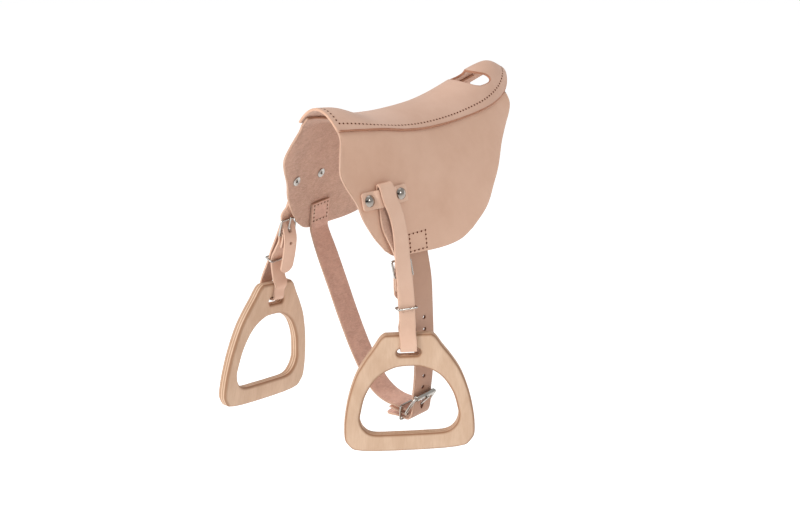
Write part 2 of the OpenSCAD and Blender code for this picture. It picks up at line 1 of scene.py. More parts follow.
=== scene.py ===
"""Looks of a small leather pony saddle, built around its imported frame.

Lengths are in millimetres in the part's own drawing axes (X sideways, -Y the pommel, Z up)
and become metres in the row frame at the end.
"""
import math

import bmesh
import bpy
import numpy as np
from mathutils import Matrix, Vector
from mathutils.geometry import delaunay_2d_cdt


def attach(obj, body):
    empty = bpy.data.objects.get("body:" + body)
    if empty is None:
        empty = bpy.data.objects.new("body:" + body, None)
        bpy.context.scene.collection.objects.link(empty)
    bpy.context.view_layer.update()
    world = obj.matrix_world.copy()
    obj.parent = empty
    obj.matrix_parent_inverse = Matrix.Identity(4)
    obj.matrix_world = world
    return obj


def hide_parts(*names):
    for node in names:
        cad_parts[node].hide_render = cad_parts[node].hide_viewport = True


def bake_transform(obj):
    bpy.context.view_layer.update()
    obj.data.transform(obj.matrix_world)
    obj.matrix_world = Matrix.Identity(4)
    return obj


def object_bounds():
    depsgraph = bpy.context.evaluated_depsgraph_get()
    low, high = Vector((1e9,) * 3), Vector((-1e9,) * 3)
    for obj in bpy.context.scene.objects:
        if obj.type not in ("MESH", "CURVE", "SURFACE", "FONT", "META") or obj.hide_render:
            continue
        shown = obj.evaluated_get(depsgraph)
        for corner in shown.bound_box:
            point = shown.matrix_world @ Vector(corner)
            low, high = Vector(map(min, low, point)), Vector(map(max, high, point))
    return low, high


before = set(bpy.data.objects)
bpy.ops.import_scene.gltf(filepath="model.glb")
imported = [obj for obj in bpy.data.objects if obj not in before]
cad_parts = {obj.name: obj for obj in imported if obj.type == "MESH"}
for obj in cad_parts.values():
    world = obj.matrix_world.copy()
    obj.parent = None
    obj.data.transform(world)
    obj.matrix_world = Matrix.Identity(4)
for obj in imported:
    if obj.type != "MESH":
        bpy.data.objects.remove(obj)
cad_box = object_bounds()
scene = bpy.context.scene

# ---------------------------------------------------------------- shared sizes
HIDE, STRAP = 3.0, 2.5
LEATHER_W, GIRTH_W = 18.0, 30.0
SEAM_IN, PITCH = 6.0, 5.0
PLY = 12.0
RIVETS = (-21.0, 21.0)
GAP = 0.3


def V(*a):
    return Vector(a)


def lerp(a, b, t):
    return a + (b - a) * t


def at(p, x):
    """Height at x of the smooth curve through points (x, height)."""
    i = 0
    while i < len(p) - 2 and x >= p[i + 1][0]:
        i += 1

    def rise(j):
        a, b = p[max(j - 1, 0)], p[min(j + 1, len(p) - 1)]
        return (b[1] - a[1]) / (b[0] - a[0])

    h = p[i + 1][0] - p[i][0]
    t = (x - p[i][0]) / h
    return ((2 * t ** 3 - 3 * t ** 2 + 1) * p[i][1] + (t ** 3 - 2 * t ** 2 + t) * h * rise(i)
            + (3 * t ** 2 - 2 * t ** 3) * p[i + 1][1] + (t ** 3 - t ** 2) * h * rise(i + 1))


def on(p, t):
    """Point at fraction t of the smooth curve through the points p."""
    m = len(p) - 1
    s = min(int(t * m), m - 1)
    a = p[s - 1] if s else 2 * p[0] - p[1]
    b, c = p[s], p[s + 1]
    d = p[s + 2] if s < m - 1 else 2 * p[m] - p[m - 1]
    u = t * m - s
    return 0.5 * (2 * b + (c - a) * u + (2 * a - 5 * b + 4 * c - d) * u ** 2
                  + (3 * b - a - 3 * c + d) * u ** 3)


def smooth(p, n):
    p = [Vector(q) for q in p]
    k = n * (len(p) - 1)
    return [on(p, i / k) for i in range(k + 1)]


# ---------------------------------------------------------------- seat surface
SEAT_HALF = [(-110, 29.5), (-82, 35), (-50, 39.5), (-20, 41.8), (20, 42.8), (60, 43), (100, 42.5)]
SEAT_EDGE = [(-110, -0.6), (-82, -3.4), (-50, -7), (-20, -13), (15, -17), (60, -17.3), (100, -15),
             (131, -11.3), (159, -5), (178, 5.5), (190, 17)]
SEAT_CROWN = [(-110, 18.5), (-82, 14), (-50, 2.5), (-20, -0.8), (10, -1.3), (50, 0.3), (76, 4.5),
              (104, 12), (131, 20.5), (150, 26), (168, 27.5), (190, 17.5)]
LIFT = HIDE - at(SEAT_CROWN, 0)


def half_w(y):
    if y < 100:
        return at(SEAT_HALF, y)
    return 42.5 * math.sqrt(max(1 - ((y - 100) / 90) ** 2, 0.0008))


def seat_xy(x, y):
    f = x / half_w(y)
    e = at(SEAT_EDGE, y)
    return V(x, y, e + (at(SEAT_CROWN, y) - e) * (1 - f * f))


def seat_surf(x, y):
    d = 0.2
    n = (seat_xy(x + d, y) - seat_xy(x - d, y)).cross(seat_xy(x, y + d) - seat_xy(x, y - d))
    return seat_xy(x, y), n.normalized()


def seat_f(f, y):
    return seat_surf(f * half_w(y), y)


# ---------------------------------------------------------------- flap surface
FLAP_WIDE = [(-120, 64.7), (-107, 66.2), (-48, 74), (0, 79.2), (50, 81.7), (95, 80.7), (125, 77.7),
             (150, 72.7), (168, 69.2)]
FOOT_Z = -140.0
LAP = 8.0


def spread(z):
    return -0.481 * z - 0.00141 * min(z, 0) ** 2


def flap_x(y, z):
    q = min(max(y, -108), 150)
    top = spread(at(SEAT_EDGE, q))
    return lerp(half_w(q) - HIDE, at(FLAP_WIDE, y), (spread(z) - top) / (spread(FOOT_Z) - top))


def flap_n(y, z):
    return V(1, (flap_x(y - 1, z) - flap_x(y + 1, z)) / 2,
             (flap_x(y, z - 1) - flap_x(y, z + 1)) / 2).normalized()


def off_flap(y, z, off):
    return V(flap_x(y, z), y, z) + off * flap_n(y, z)


def edge_z(y):
    return at(SEAT_EDGE, y) - 2.6


def flap_surf(y, w):
    """w is the height down the flap; above its top edge it runs on under the seat."""
    s = w - edge_z(y)
    if s <= 0:
        return V(flap_x(y, w), y, w), flap_n(y, w)
    p, n = seat_f(1 - s / half_w(y), y)
    return p - (HIDE + 0.25) * n, n


FLAP_FRONT = [(-107, edge_z(-107)), (-108, -12), (-115, -27), (-120, -42), (-117, -55), (-108, -74),
              (-103, -92), (-93, -112), (-80, -129.5)]
FLAP_REAR = [(164, edge_z(164)), (164.5, -17), (155, -29), (138.5, -42), (125, -55), (109, -77),
             (94.5, -93.5), (76.5, -114), (48, -132)]
FLAP_FOOT = [(-80, -129.5), (-65, -138), (-25, -141), (5, -142), (29, -139.5), (48, -132)]

# ---------------------------------------------------------------- tab, leathers
TAB_Y, TAB_Z = -72.75, -73.5
TAB_W = 19.0
tab_n = flap_n(TAB_Y, TAB_Z)
tab_along = V(flap_x(TAB_Y + 1, TAB_Z) - flap_x(TAB_Y - 1, TAB_Z), 2, 0).normalized()
tab_up = tab_n.cross(tab_along)
tab_o = off_flap(TAB_Y, TAB_Z, 0)
tab_rise = GAP + STRAP + GAP + STRAP / 2
tab_low = STRAP / 2 + 0.05


def tab_pt(s, up, off):
    return tab_o + s * tab_along + up * tab_up + off * tab_n


def yaw(a):
    a = math.radians(a)
    return V(math.sin(a), math.cos(a), 0)


JOINT_Z = -88
inner_off = GAP + STRAP / 2
outer_off = tab_rise + STRAP + 3 * GAP
bight = [[off_flap(q[0], JOINT_Z, outer_off), off_flap(q[1], -76, outer_off),
          off_flap(q[2], -64.5, outer_off), off_flap(q[3], -59.5, (inner_off + outer_off) / 2),
          off_flap(q[4], -64.5, inner_off), off_flap(q[5], -76, inner_off),
          off_flap(q[6], JOINT_Z, inner_off + 0.45)]
         for q in ((-68, -71.4, -72.6, -72.7, -72.8, -73.6, -74.6),
                   (-75, -72.6, -71.8, -71.7, -71.7, -73.2, -76.6))]
outer_run = [[V(74.5, -67, -102), V(77.5, -67, -118), V(80, -67.5, -136), V(82.3, -67, -156),
              V(84, -66, -176), V(85.4, -65.3, -203)],
             [V(76.5, -82, -112), V(84, -88, -140), V(92, -92, -163), V(94.5, -93, -172),
              V(103, -95, -192)]]
outer_yaw = [(7, 14, 22, 31), (7, 2, 0)]
BUCKLE_R = 1.2
buckle_top = [V(73.1, -62.2, -142.5), V(69, -91.9, -121.5)]
buckle_heel = [V(76.6, -61.4, -160.5), V(73, -92.7, -139.5)]
buckle_yaw = (19, 0)
fold = BUCKLE_R + GAP + STRAP / 2 + 0.1


def beside(p, k, out, down):
    a = math.radians(buckle_yaw[k])
    return p + V(out * math.cos(a), -out * math.sin(a), -down)


def heel_pt(k, out, down):
    return beside(buckle_heel[k], k, out, down)


def top_pt(k, out, down):
    return beside(buckle_top[k], k, out, down)


def through(k):
    return [top_pt(k, 3.3, -5), top_pt(k, 3, 1), heel_pt(k, -4.4, -6), heel_pt(k, -5.9, 1),
            heel_pt(k, -5.7, 9)]


tail = [[off_flap(-74.6, -104, inner_off + 1), V(74.1, -69, -122)] + through(0)
        + [heel_pt(0, -4.9, 18), heel_pt(0, -4.3, 28)],
        [off_flap(-79.3, -97, inner_off + 1.2), off_flap(-83.5, -106, inner_off + 2.5)] + through(1)
        + [heel_pt(1, -2.5, 25), heel_pt(1, 4, 47)]]
tail_yaw = [(7, 12, 19, 26), (7, 2, 0)]
chape = [[heel_pt(0, -1.3, 16), heel_pt(0, -2.2, 8), heel_pt(0, -fold, 0), heel_pt(0, 0, -fold),
          heel_pt(0, fold, 0), heel_pt(0, 2.7, 8), V(80.6, -63.6, -176), V(82.1, -63.6, -190),
          V(82.2, -62.2, -203)],
         [heel_pt(1, 1, 15), heel_pt(1, -1.5, 8), heel_pt(1, -fold, 0), heel_pt(1, 0, -fold),
          heel_pt(1, fold, 0), heel_pt(1, 3.9, 8), V(83.5, -93, -159), V(89.6, -93.6, -172),
          V(86.4, -95, -192)]]
chape_yaw = [(19, 19, 23, 31), (0, 0, 0)]
slot_at = [V(83.3, -61.4, -245), V(93, -99.5, -222)]
slot_yaw = (43, 9)
lean = (0, 2.5)
roll = (1, -10.5)
SLOT_DEPTH, SLOT_LEN, SLOT_H = 21.3, 25.0, 8.0


def stirrup_axes(k):
    """Width, outward and upward directions of a stirrup."""
    w = yaw(slot_yaw[k])
    n = V(w[1], -w[0], 0)
    c, q = math.cos(math.radians(lean[k])), math.sin(math.radians(lean[k]))
    u = V(0, 0, c) - q * n
    r = math.radians(roll[k])
    return (math.cos(r) * w + math.sin(r) * u, c * n + V(0, 0, q),
            math.cos(r) * u - math.sin(r) * w)


def on_stirrup(k, s, out, up):
    w, n, u = stirrup_axes(k)
    return slot_at[k] + s * w + out * n + up * u


bar_low = SLOT_H / 2 - GAP - STRAP / 2
face = PLY / 2 + GAP + STRAP / 2
round_bar = [[on_stirrup(k, 0, q[0], q[1]) for q in
              ((face, 14), (face, 8), (face + 0.3, 4.8), (7.1, 2.9), (5.2, bar_low), (-5.2, bar_low),
               (-7.1, 2.9), (-face - 0.3, 4.8), (-face, 8), (-face, 14))] for k in (0, 1)]
foot_loop = [[V(87, -66.4, -211.5), on_stirrup(0, -1, face + 0.3, 24)] + round_bar[0]
             + [on_stirrup(0, -1, -face - 0.3, 24), V(79.8, -59.6, -211.5)],
             [V(107.5, -96, -205.5), V(106.6, -97.2, -212.5), on_stirrup(1, 0, face + 3, 7.5)]
             + round_bar[1][2:] + [on_stirrup(1, 0, -face - 1.3, 21)]]
KEEPER_Z = (-193.5, -172)

# ---------------------------------------------------------------- girth
GIRTH_Y = -33
girth_bar = V(69, GIRTH_Y, -331)
GIRTH_BUCKLE_R = 1.6
girth_fold = GIRTH_BUCKLE_R + GAP + STRAP / 2
SEWN_Y, SEWN_Z, BOX = (-36, -47), (-127.5, -121.5), (11.5, 9.5)
strap_off = HIDE + 2 * GAP + STRAP / 2


def flip(p, k):
    return V(-p[0], p[1], p[2]) if k else V(*p)


def sewn(k, z):
    return flip(off_flap(SEWN_Y[k], z, -strap_off), k)


girth_line = [sewn(1, z) for z in (-109, -118, -127, -136)] + [
    V(-67.5, -47, -146), V(-56, -46, -173), V(-41.8, -44, -207), V(-27.8, -42, -241),
    V(-11, -40, -276), V(8, -38, -306), V(23, -36, -320), V(38, -34.5, -325.6),
    V(52, GIRTH_Y, -326.7), V(63, GIRTH_Y, -327.2)] + [
    girth_bar + V(q[0], 0, q[1]) for q in ((0.5, girth_fold), (girth_fold, 0), (0.3, -girth_fold),
                                           (-9, -1.4), (-19, -1), (-27, -0.2))]
billet_line = [sewn(0, z) for z in (-116, -122, -129, -136)] + [
    V(77, -35, -170), V(80, -34, -205), V(81, GIRTH_Y, -250), V(80, GIRTH_Y, -285)] + [
    V(q[0], GIRTH_Y, q[1]) for q in ((77.9, -304), (77.8, -312), (77.2, -322), (75, -332),
                                     (70, -337.4), (60, -337.6), (46, -339.5), (30, -345))]


def lying(k):
    n = flap_n(SEWN_Y[k], -122)
    return V((1 if k else -1) * n[1], n[0], 0)


# ---------------------------------------------------------------- mesh tools
def in_loops(px, py, loops):
    inside = np.zeros(len(px), bool)
    for loop in loops:
        a = np.array(loop)
        b = np.roll(a, -1, axis=0)
        for (x0, y0), (x1, y1) in zip(a, b):
            if y0 != y1:
                cross = (y0 > py) != (y1 > py)
                inside ^= cross & (px < (x1 - x0) * (py - y0) / (y1 - y0) + x0)
    return inside


def area(loop):
    a = np.array(loop)
    b = np.roll(a, -1, axis=0)
    return 0.5 * float(np.sum(a[:, 0] * b[:, 1] - b[:, 0] * a[:, 1]))


def resample(loop, step):
    out = []
    for i, p in enumerate(loop):
        q = loop[(i + 1) % len(loop)]
        d = math.dist(p, q)
        if d < 1e-4:
            continue
        n = max(1, round(d / step))
        out += [(lerp(p[0], q[0], j / n), lerp(p[1], q[1], j / n)) for j in range(n)]
    return out


def inset(loop, radii):
    """Each point moved to its left by its radius, less where the outline turns back on itself."""
    out = []
    n = len(loop)
    for i, p in enumerate(loop):
        a, b = np.array(loop[i - 1]), np.array(loop[(i + 1) % n])
        q = np.array(p)
        u, v = q - a, b - q
        u, v = u / np.linalg.norm(u), v / np.linalg.norm(v)
        m = np.array([-(u + v)[1], (u + v)[0]])
        m = m / max(np.linalg.norm(m), 1e-9)
        k = max(m @ np.array([-v[1], v[0]]), 0.5)
        out.append(tuple((q + m * radii[i] / k).tolist()))
    return out


def panel(name, outline, surf, t, holes=(), pitch=3.0, step=1.6, r=0.6, rings=3, mirror=False,
          flat=None):
    """A piece of sheet t thick whose outer face is surf over the outline, with rounded edges.

    Material slots: 0 outer face, 1 inner face, 2 cut edge. The attribute depth is how far a point
    lies below the outer face, rim how far it is from the cut edge, and flatmap its place in the outline.
    """
    loops = []
    for i, loop in enumerate([outline] + list(holes)):
        loop = resample(loop, step)
        if (area(loop) > 0) != (i == 0):
            loop = loop[::-1]
        loops.append(loop)
    radii = [[0.0 if flat and flat(*p) else r for p in loop] for loop in loops]
    inner = [inset(loop, rad) for loop, rad in zip(loops, radii)]
    pts = [p for loop in inner for p in loop]
    out_pts = [p for loop in loops for p in loop]
    rad = [q for loop in radii for q in loop]
    lo, hi = np.min(pts, axis=0), np.max(pts, axis=0)
    gx, gy = np.meshgrid(np.arange(lo[0], hi[0], pitch), np.arange(lo[1], hi[1], pitch * 0.87))
    gx = gx + (np.arange(gx.shape[0]) % 2)[:, None] * pitch / 2
    gx, gy = gx.ravel(), gy.ravel()
    keep = in_loops(gx, gy, inner)
    ring_pts = np.array(pts)
    near = np.array([np.min((ring_pts[:, 0] - x) ** 2 + (ring_pts[:, 1] - y) ** 2)
                     for x, y in zip(gx, gy)])
    keep &= near > (0.55 * pitch) ** 2
    fill = list(zip(gx[keep].tolist(), gy[keep].tolist()))
    faces2d, k = [], 0
    for loop in inner:
        faces2d.append(list(range(k, k + len(loop))))
        k += len(loop)
    co, _, tris, origin, _, _ = delaunay_2d_cdt([Vector(p) for p in pts + fill], [], faces2d, 2, 1e-7)
    # every input point comes back once, so the answer is put in input order
    order = {}
    for new, olds in enumerate(origin):
        for o in olds:
            order[o] = new
    flat_pts = [tuple(c) for c in co]
    m, total = len(pts), len(co)
    verts, depth, rim, uv = [], [], [], []
    sign = -1 if mirror else 1

    def add(p, h, d):
        q, n = surf(*p)
        q = q - n * h
        verts.append((sign * q[0] / 1000, q[1] / 1000, (q[2] + LIFT) / 1000))
        depth.append(h)
        rim.append(d)
        uv.append(p)

    edge_d = {}
    rp = np.array(out_pts)
    for i, p in enumerate(flat_pts):
        edge_d[i] = float(np.sqrt(np.min((rp[:, 0] - p[0]) ** 2 + (rp[:, 1] - p[1]) ** 2)))
    for i, p in enumerate(flat_pts):
        add(p, 0, edge_d[i])
    for i, p in enumerate(flat_pts):
        add(p, t, edge_d[i])
    levels = [(math.sin(a), 1 - math.cos(a)) for a in
              (math.pi / 2 * j / rings for j in range(1, rings + 1))]
    ring_start = []
    for s, c in levels:
        ring_start.append(len(verts))
        for j in range(m):
            p = (lerp(pts[j][0], out_pts[j][0], s), lerp(pts[j][1], out_pts[j][1], s))
            add(p, rad[j] * c, 0)
    for s, c in reversed(levels):
        ring_start.append(len(verts))
        for j in range(m):
            p = (lerp(pts[j][0], out_pts[j][0], s), lerp(pts[j][1], out_pts[j][1], s))
            add(p, t - rad[j] * c, 0)
    faces, mats = [], []
    for f in tris:
        a, b, c = (flat_pts[i] for i in f[:3])
        if (b[0] - a[0]) * (c[1] - a[1]) - (b[1] - a[1]) * (c[0] - a[0]) < 0:
            f = f[::-1]
        faces.append(tuple(f))
        mats.append(0)
        faces.append(tuple(i + total for i in reversed(f)))
        mats.append(1)
    base = 0
    for which, loop in enumerate(inner):
        n = len(loop)
        for j in range(n):
            a, b = base + j, base + (j + 1) % n
            col_a = [order[a]] + [s + a for s in ring_start] + [order[a] + total]
            col_b = [order[b]] + [s + b for s in ring_start] + [order[b] + total]
            for q in range(len(col_a) - 1):
                faces.append((col_a[q], col_a[q + 1], col_b[q + 1], col_b[q]))
                mats.append(3 if which else 2)
        base += n
    if mirror:
        faces = [f[::-1] for f in faces]
    mesh = bpy.data.meshes.new(name)
    mesh.from_pydata(verts, [], faces)
    for key, values in (("depth", depth), ("rim", rim)):
        mesh.attributes.new(key, "FLOAT", "POINT").data.foreach_set("value", np.array(values, np.float32))
    flatmap = np.zeros((len(verts), 3), np.float32)
    flatmap[:, :2] = np.array(uv, np.float32)
    flatmap[:, 2] = depth
    mesh.attributes.new("flatmap", "FLOAT_VECTOR", "POINT").data.foreach_set("vector", flatmap.ravel())
    mesh.polygons.foreach_set("material_index", mats)
    mesh.polygons.foreach_set("use_smooth", [True] * len(faces))
    bm = bmesh.new()
    bm.from_mesh(mesh)
    bmesh.ops.remove_doubles(bm, verts=bm.verts, dist=2e-6)
    bmesh.ops.dissolve_degenerate(bm, edges=bm.edges, dist=1e-6)
    bmesh.ops.recalc_face_normals(bm, faces=bm.faces)
    bm.to_mesh(mesh)
    bm.free()
    obj = bpy.data.objects.new(name, mesh)
    scene.collection.objects.link(obj)
    return obj


class Run:
    """A strap's middle line with its width directions, cut to a stretch by arc length."""

    def __init__(self, points, across, n=10):
        pts = smooth(points, n)
        acr = smooth(across, n)
        s = [0.0]
        for a, b in zip(pts, pts[1:]):
            s.append(s[-1] + (b - a).length)
        self.s, self.p, self.a = np.array(s), np.array(pts), np.array(acr)
        self.length = s[-1]

    def frame(self, s):
        s = min(max(s, 0.0), self.length)
        i = min(max(int(np.searchsorted(self.s, s)), 1), len(self.s) - 1)
        u = (s - self.s[i - 1]) / (self.s[i] - self.s[i - 1])
        p = Vector(self.p[i - 1]).lerp(Vector(self.p[i]), u)

        def tangent(j):
            lo, hi = max(j - 1, 0), min(j + 1, len(self.p) - 1)
            return Vector(self.p[hi] - self.p[lo]).normalized()

        t = tangent(i - 1).lerp(tangent(i), u).normalized()
        d = Vector(self.a[i - 1]).lerp(Vector(self.a[i]), u)
        a = (d - d.dot(t) * t).normalized()
        return p, t, a, a.cross(t)

    def place(self, test):
        """Arc length where test, a function of a point, first crosses zero."""
        v = [test(Vector(p)) for p in self.p]
        for i in range(1, len(v)):
            if v[i - 1] * v[i] <= 0 and v[i - 1] != v[i]:
                return lerp(self.s[i - 1], self.s[i], v[i - 1] / (v[i - 1] - v[i]))
        return 0.0


def strap(name, run, width, start=0.0, end=None, tip0=0.0, tip1=0.0, corner=0.0, holes=(),
          mirror=False, flat_ends=(False, False), outside=1, pitch=3.0, step=1.6, r=0.6):
    """A strap along a run from start to end. tip0 and tip1 are the lengths of rounded ends, and
    outside is 1 or -1 for the side that carries the grain."""
    end = run.length if end is None else end
    h = width / 2
    o = []

    def side(k, s0, s1):
        n = max(2, round(abs(s1 - s0) / step))
        return [(lerp(s0, s1, i / n), k * h) for i in range(n + 1)]

    def cap(s, d, tip, w0):
        if tip:
            return [(s + d * tip * math.sin(a), w0 * h * math.cos(a)) for a in
                    (math.pi * i / 22 for i in range(1, 22))]
        if corner:
            c = corner
            arc = [(s + d * c * math.sin(a), w0 * (h - c + c * math.cos(a))) for a in
                   (math.pi / 2 * i / 4 for i in range(1, 5))]
            return arc + [(q[0], -q[1]) for q in reversed(arc)]
        return []

    lead0, lead1 = tip0 or corner, tip1 or corner
    o = side(-1, start + lead0, end - lead1) + cap(end - lead1, 1, tip1, -1)
    o += side(1, end - lead1, start + lead0) + cap(start + lead0, -1, tip0, 1)

    def surf(s, w):
        p, _, a, u = run.frame(s)
        return p + a * w + u * (outside * STRAP / 2), u * outside

    def flat(s, w):
        return (flat_ends[0] and abs(s - start) < 1e-3) or (flat_ends[1] and abs(s - end) < 1e-3)

    return panel(name, o, surf, STRAP, holes, pitch, step, r, 3, mirror, flat)


def oval(cx, cy, rx, ry, n=20):
    return [(cx + rx * math.cos(2 * math.pi * i / n), cy + ry * math.sin(2 * math.pi * i / n))
            for i in range(n)]


def stadium(cx, half_long, half_wide, n=10):
    """A long hole with round ends, lying along the strap."""
    turn = [math.pi * (i / n - 0.5) for i in range(n + 1)]
    flat = half_long - half_wide
    end = [(flat + half_wide * math.cos(a), half_wide * math.sin(a)) for a in turn]
    return [(cx + x, y) for x, y in end] + [(cx - x, -y) for x, y in end]


def walk(line, pitch):
    """Points about pitch apart along a polyline, from its first point to its last."""
    s = [0.0]
    for a, b in zip(line, line[1:]):
        s.append(s[-1] + (b - a).length)
    n = round(s[-1] / pitch)
    out, i = [], 1
    for k in range(n + 1):
        d = s[-1] * k / n
        while i < len(s) - 1 and s[i] < d:
            i += 1
        out.append(line[i - 1].lerp(line[i], (d - s[i - 1]) / (s[i] - s[i - 1])))
    return out


def stitches(name, rows, mirror=False, slack=1.0):
    """Rows of thread. A row is a list of (hole, normal); the thread bows over from hole to hole."""
    verts, faces, mats = [], [], []
    sign = -1 if mirror else 1
    sides, beads = 8, 7

    def put(p):
        verts.append((sign * p[0] / 1000, p[1] / 1000, (p[2] + LIFT) / 1000))

    for row in rows:
        for (a, na), (b, nb) in zip(row, row[1:]):
            d = (b - a).normalized()
            n = (na + nb).normalized()
            side = d.cross(n).normalized()
            base = len(verts)
            for i in range(beads + 1):
                t = i / beads
                bow = math.sin(math.pi * t) ** 0.5
                c = a.lerp(b, 0.26 + 0.48 * t) + n * (0.55 * bow - 0.40)
                rad = 0.42 * (0.62 + 0.38 * math.sin(math.pi * t) ** 0.4) * slack
                for j in range(sides):
                    g = 2 * math.pi * j / sides
                    put(c + side * (rad * math.cos(g)) + n * (rad * 0.85 * math.sin(g)))
            for i in range(beads):
                for j in range(sides):
                    p, q = base + i * sides + j, base + i * sides + (j + 1) % sides
                    faces.append((p, q, q + sides, p + sides))
                    mats.append(0)
            faces.append(tuple(base + j for j in reversed(range(sides))))
            faces.append(tuple(base + beads * sides + j for j in range(sides)))
            mats += [0, 0]
        for p, n in row:
            # a shallow dish at each end of a stitch, coloured dark as painted shade inside the hole
            d = n.orthogonal().normalized()
            e = n.cross(d)
            base = len(verts)
            put(p + n * 0.02)
            for rad, h in ((0.6, 0.03), (1.1, 0.07)):
                for j in range(10):
                    g = 2 * math.pi * j / 10
                    put(p + (d * math.cos(g) + e * math.sin(g)) * rad + n * h)
            for j in range(10):
                q = (j + 1) % 10
                faces.append((base, base + 1 + j, base + 1 + q))
                faces.append((base + 1 + j, base + 11 + j, base + 11 + q, base + 1 + q))
                mats += [1, 1]
    if mirror:
        faces = [f[::-1] for f in faces]
    mesh = bpy.data.meshes.new(name)
    mesh.from_pydata(verts, [], faces)
    mesh.polygons.foreach_set("material_index", mats)
    mesh.polygons.foreach_set("use_smooth", [True] * len(faces))
    obj = bpy.data.objects.new(name, mesh)
    scene.collection.objects.link(obj)
    return obj


# ---------------------------------------------------------------- materials
def linear(c):
    return tuple((v / 255 / 12.92) if v <= 10 else ((v / 255 + 0.055) / 1.055) ** 2.4 for v in c)


class Nodes:
    def __init__(self, name):
        self.m = bpy.data.materials.new(name)
        self.m.use_nodes = True
        self.t = self.m.node_tree
        self.bsdf = self.t.nodes["Principled BSDF"]

    def new(self, kind, **inputs):
        n = self.t.nodes.new(kind)
        for k, v in inputs.items():
            if hasattr(n, k):
                setattr(n, k, v)
            else:
                n.inputs[k.replace("_", " ")].default_value = v
        return n

    def link(self, a, b):
        self.t.links.new(a, b)
        return b

    def coords(self, stretch=(1, 1, 1), flat=False):
        """Object coordinates in metres, or the piece's own flat pattern in metres."""
        m = self.new("ShaderNodeMapping")
        m.inputs["Scale"].default_value = stretch
        if flat:
            a = self.new("ShaderNodeAttribute", attribute_name="flatmap")
            s = self.new("ShaderNodeVectorMath", operation="SCALE")
            s.inputs["Scale"].default_value = 0.001
            self.link(a.outputs["Vector"], s.inputs[0])
            self.link(s.outputs[0], m.inputs["Vector"])
        else:
            self.link(self.new("ShaderNodeTexCoord").outputs["Object"], m.inputs["Vector"])
        return m.outputs["Vector"]

    def noise(self, vector, scale, detail=4.0, rough=0.55, distort=0.0):
        n = self.new("ShaderNodeTexNoise", Scale=scale, Detail=detail, Roughness=rough, Distortion=distort)
        self.link(vector, n.inputs["Vector"])
        return n.outputs["Fac"]

    def cells(self, vector, scale, feature="F1"):
        n = self.new("ShaderNodeTexVoronoi", feature=feature, Scale=scale)
        self.link(vector, n.inputs["Vector"])
        return n.outputs["Distance"]

    def ramp(self, fac, a, b, lo=0.0, hi=1.0):
        """fac from a..b becomes lo..hi, clamped."""
        n = self.new("ShaderNodeMapRange", clamp=True)
        for key, v in (("From Min", a), ("From Max", b), ("To Min", lo), ("To Max", hi)):
            n.inputs[key].default_value = v
        self.link(fac, n.inputs["Value"])
        return n.outputs["Result"]

    def mix(self, fac, a, b, mode="MIX"):
        n = self.new("ShaderNodeMix", data_type="RGBA", blend_type=mode)
        for sock, v in ((n.inputs[0], fac), (n.inputs[6], a), (n.inputs[7], b)):
            if isinstance(v, (int, float)):
                sock.default_value = v
            elif isinstance(v, tuple):
                sock.default_value = (*v, 1) if len(v) == 3 else v
            else:
                self.link(v, sock)
        return n.outputs[2]

    def attr(self, name):
        return self.new("ShaderNodeAttribute", attribute_name=name).outputs["Fac"]

    def math(self, op, a, b=0.0):
        n = self.new("ShaderNodeMath", operation=op)
        for sock, v in ((n.inputs[0], a), (n.inputs[1], b)):
            if isinstance(v, (int, float)):
                sock.default_value = v
            else:
                self.link(v, sock)
        return n.outputs[0]

    def bump(self, height, strength, distance, before=None):
        n = self.new("ShaderNodeBump", Strength=strength, Distance=distance)
        self.link(height, n.inputs["Height"])
        if before is not None:
            self.link(before, n.inputs["Normal"])
        return n.outputs["Normal"]

    def set(self, **kw):
        for k, v in kw.items():
            s = self.bsdf.inputs[k.replace("_", " ")]
            if hasattr(v, "links"):
                self.link(v, s)
            else:
                s.default_value = v
        return self.m


def grain_leather(name, tone, dark, light, rim=0.30):
    """Smooth vegetable-tanned grain: soft mottling, faint fat wrinkles and hair pores."""
    n = Nodes(name)
    c = n.coords()
    broad = n.noise(c, 14, 3, 0.5)
    mid = n.noise(c, 70, 5, 0.6, 0.4)
    col = n.mix(n.ramp(broad, 0.35, 0.68), linear(dark), linear(light))
    col = n.mix(0.55, col, linear(tone))
    col = n.mix(n.ramp(mid, 0.40, 0.72, 0, 0.30), col, linear(light))
    fine = n.noise(c, 900, 4, 0.7)
    col = n.mix(n.ramp(fine, 0.52, 0.80, 0, 0.10), col, linear(dark))
    edge = n.ramp(n.attr("rim"), 0.4, 2.6, rim, 0.0)
    col = n.mix(edge, col, linear(tuple(0.80 * v for v in dark)), "MIX")
    wrinkle = n.noise(n.coords((1, 2.2, 1)), 150, 6, 0.68, 1.2)
    pores = n.cells(c, 1150, "SMOOTH_F1")
    normal = n.bump(wrinkle, 0.22, 0.0006)
    normal = n.bump(pores, 0.28, 0.00022, normal)
    normal = n.bump(fine, 0.18, 0.00018, normal)
    rough = n.ramp(mid, 0.3, 0.75, 0.50, 0.63)
    return n.set(Base_Color=col, Roughness=rough, Normal=normal, Specular_IOR_Level=0.38,
                 Sheen_Weight=0.08, Sheen_Roughness=0.5)


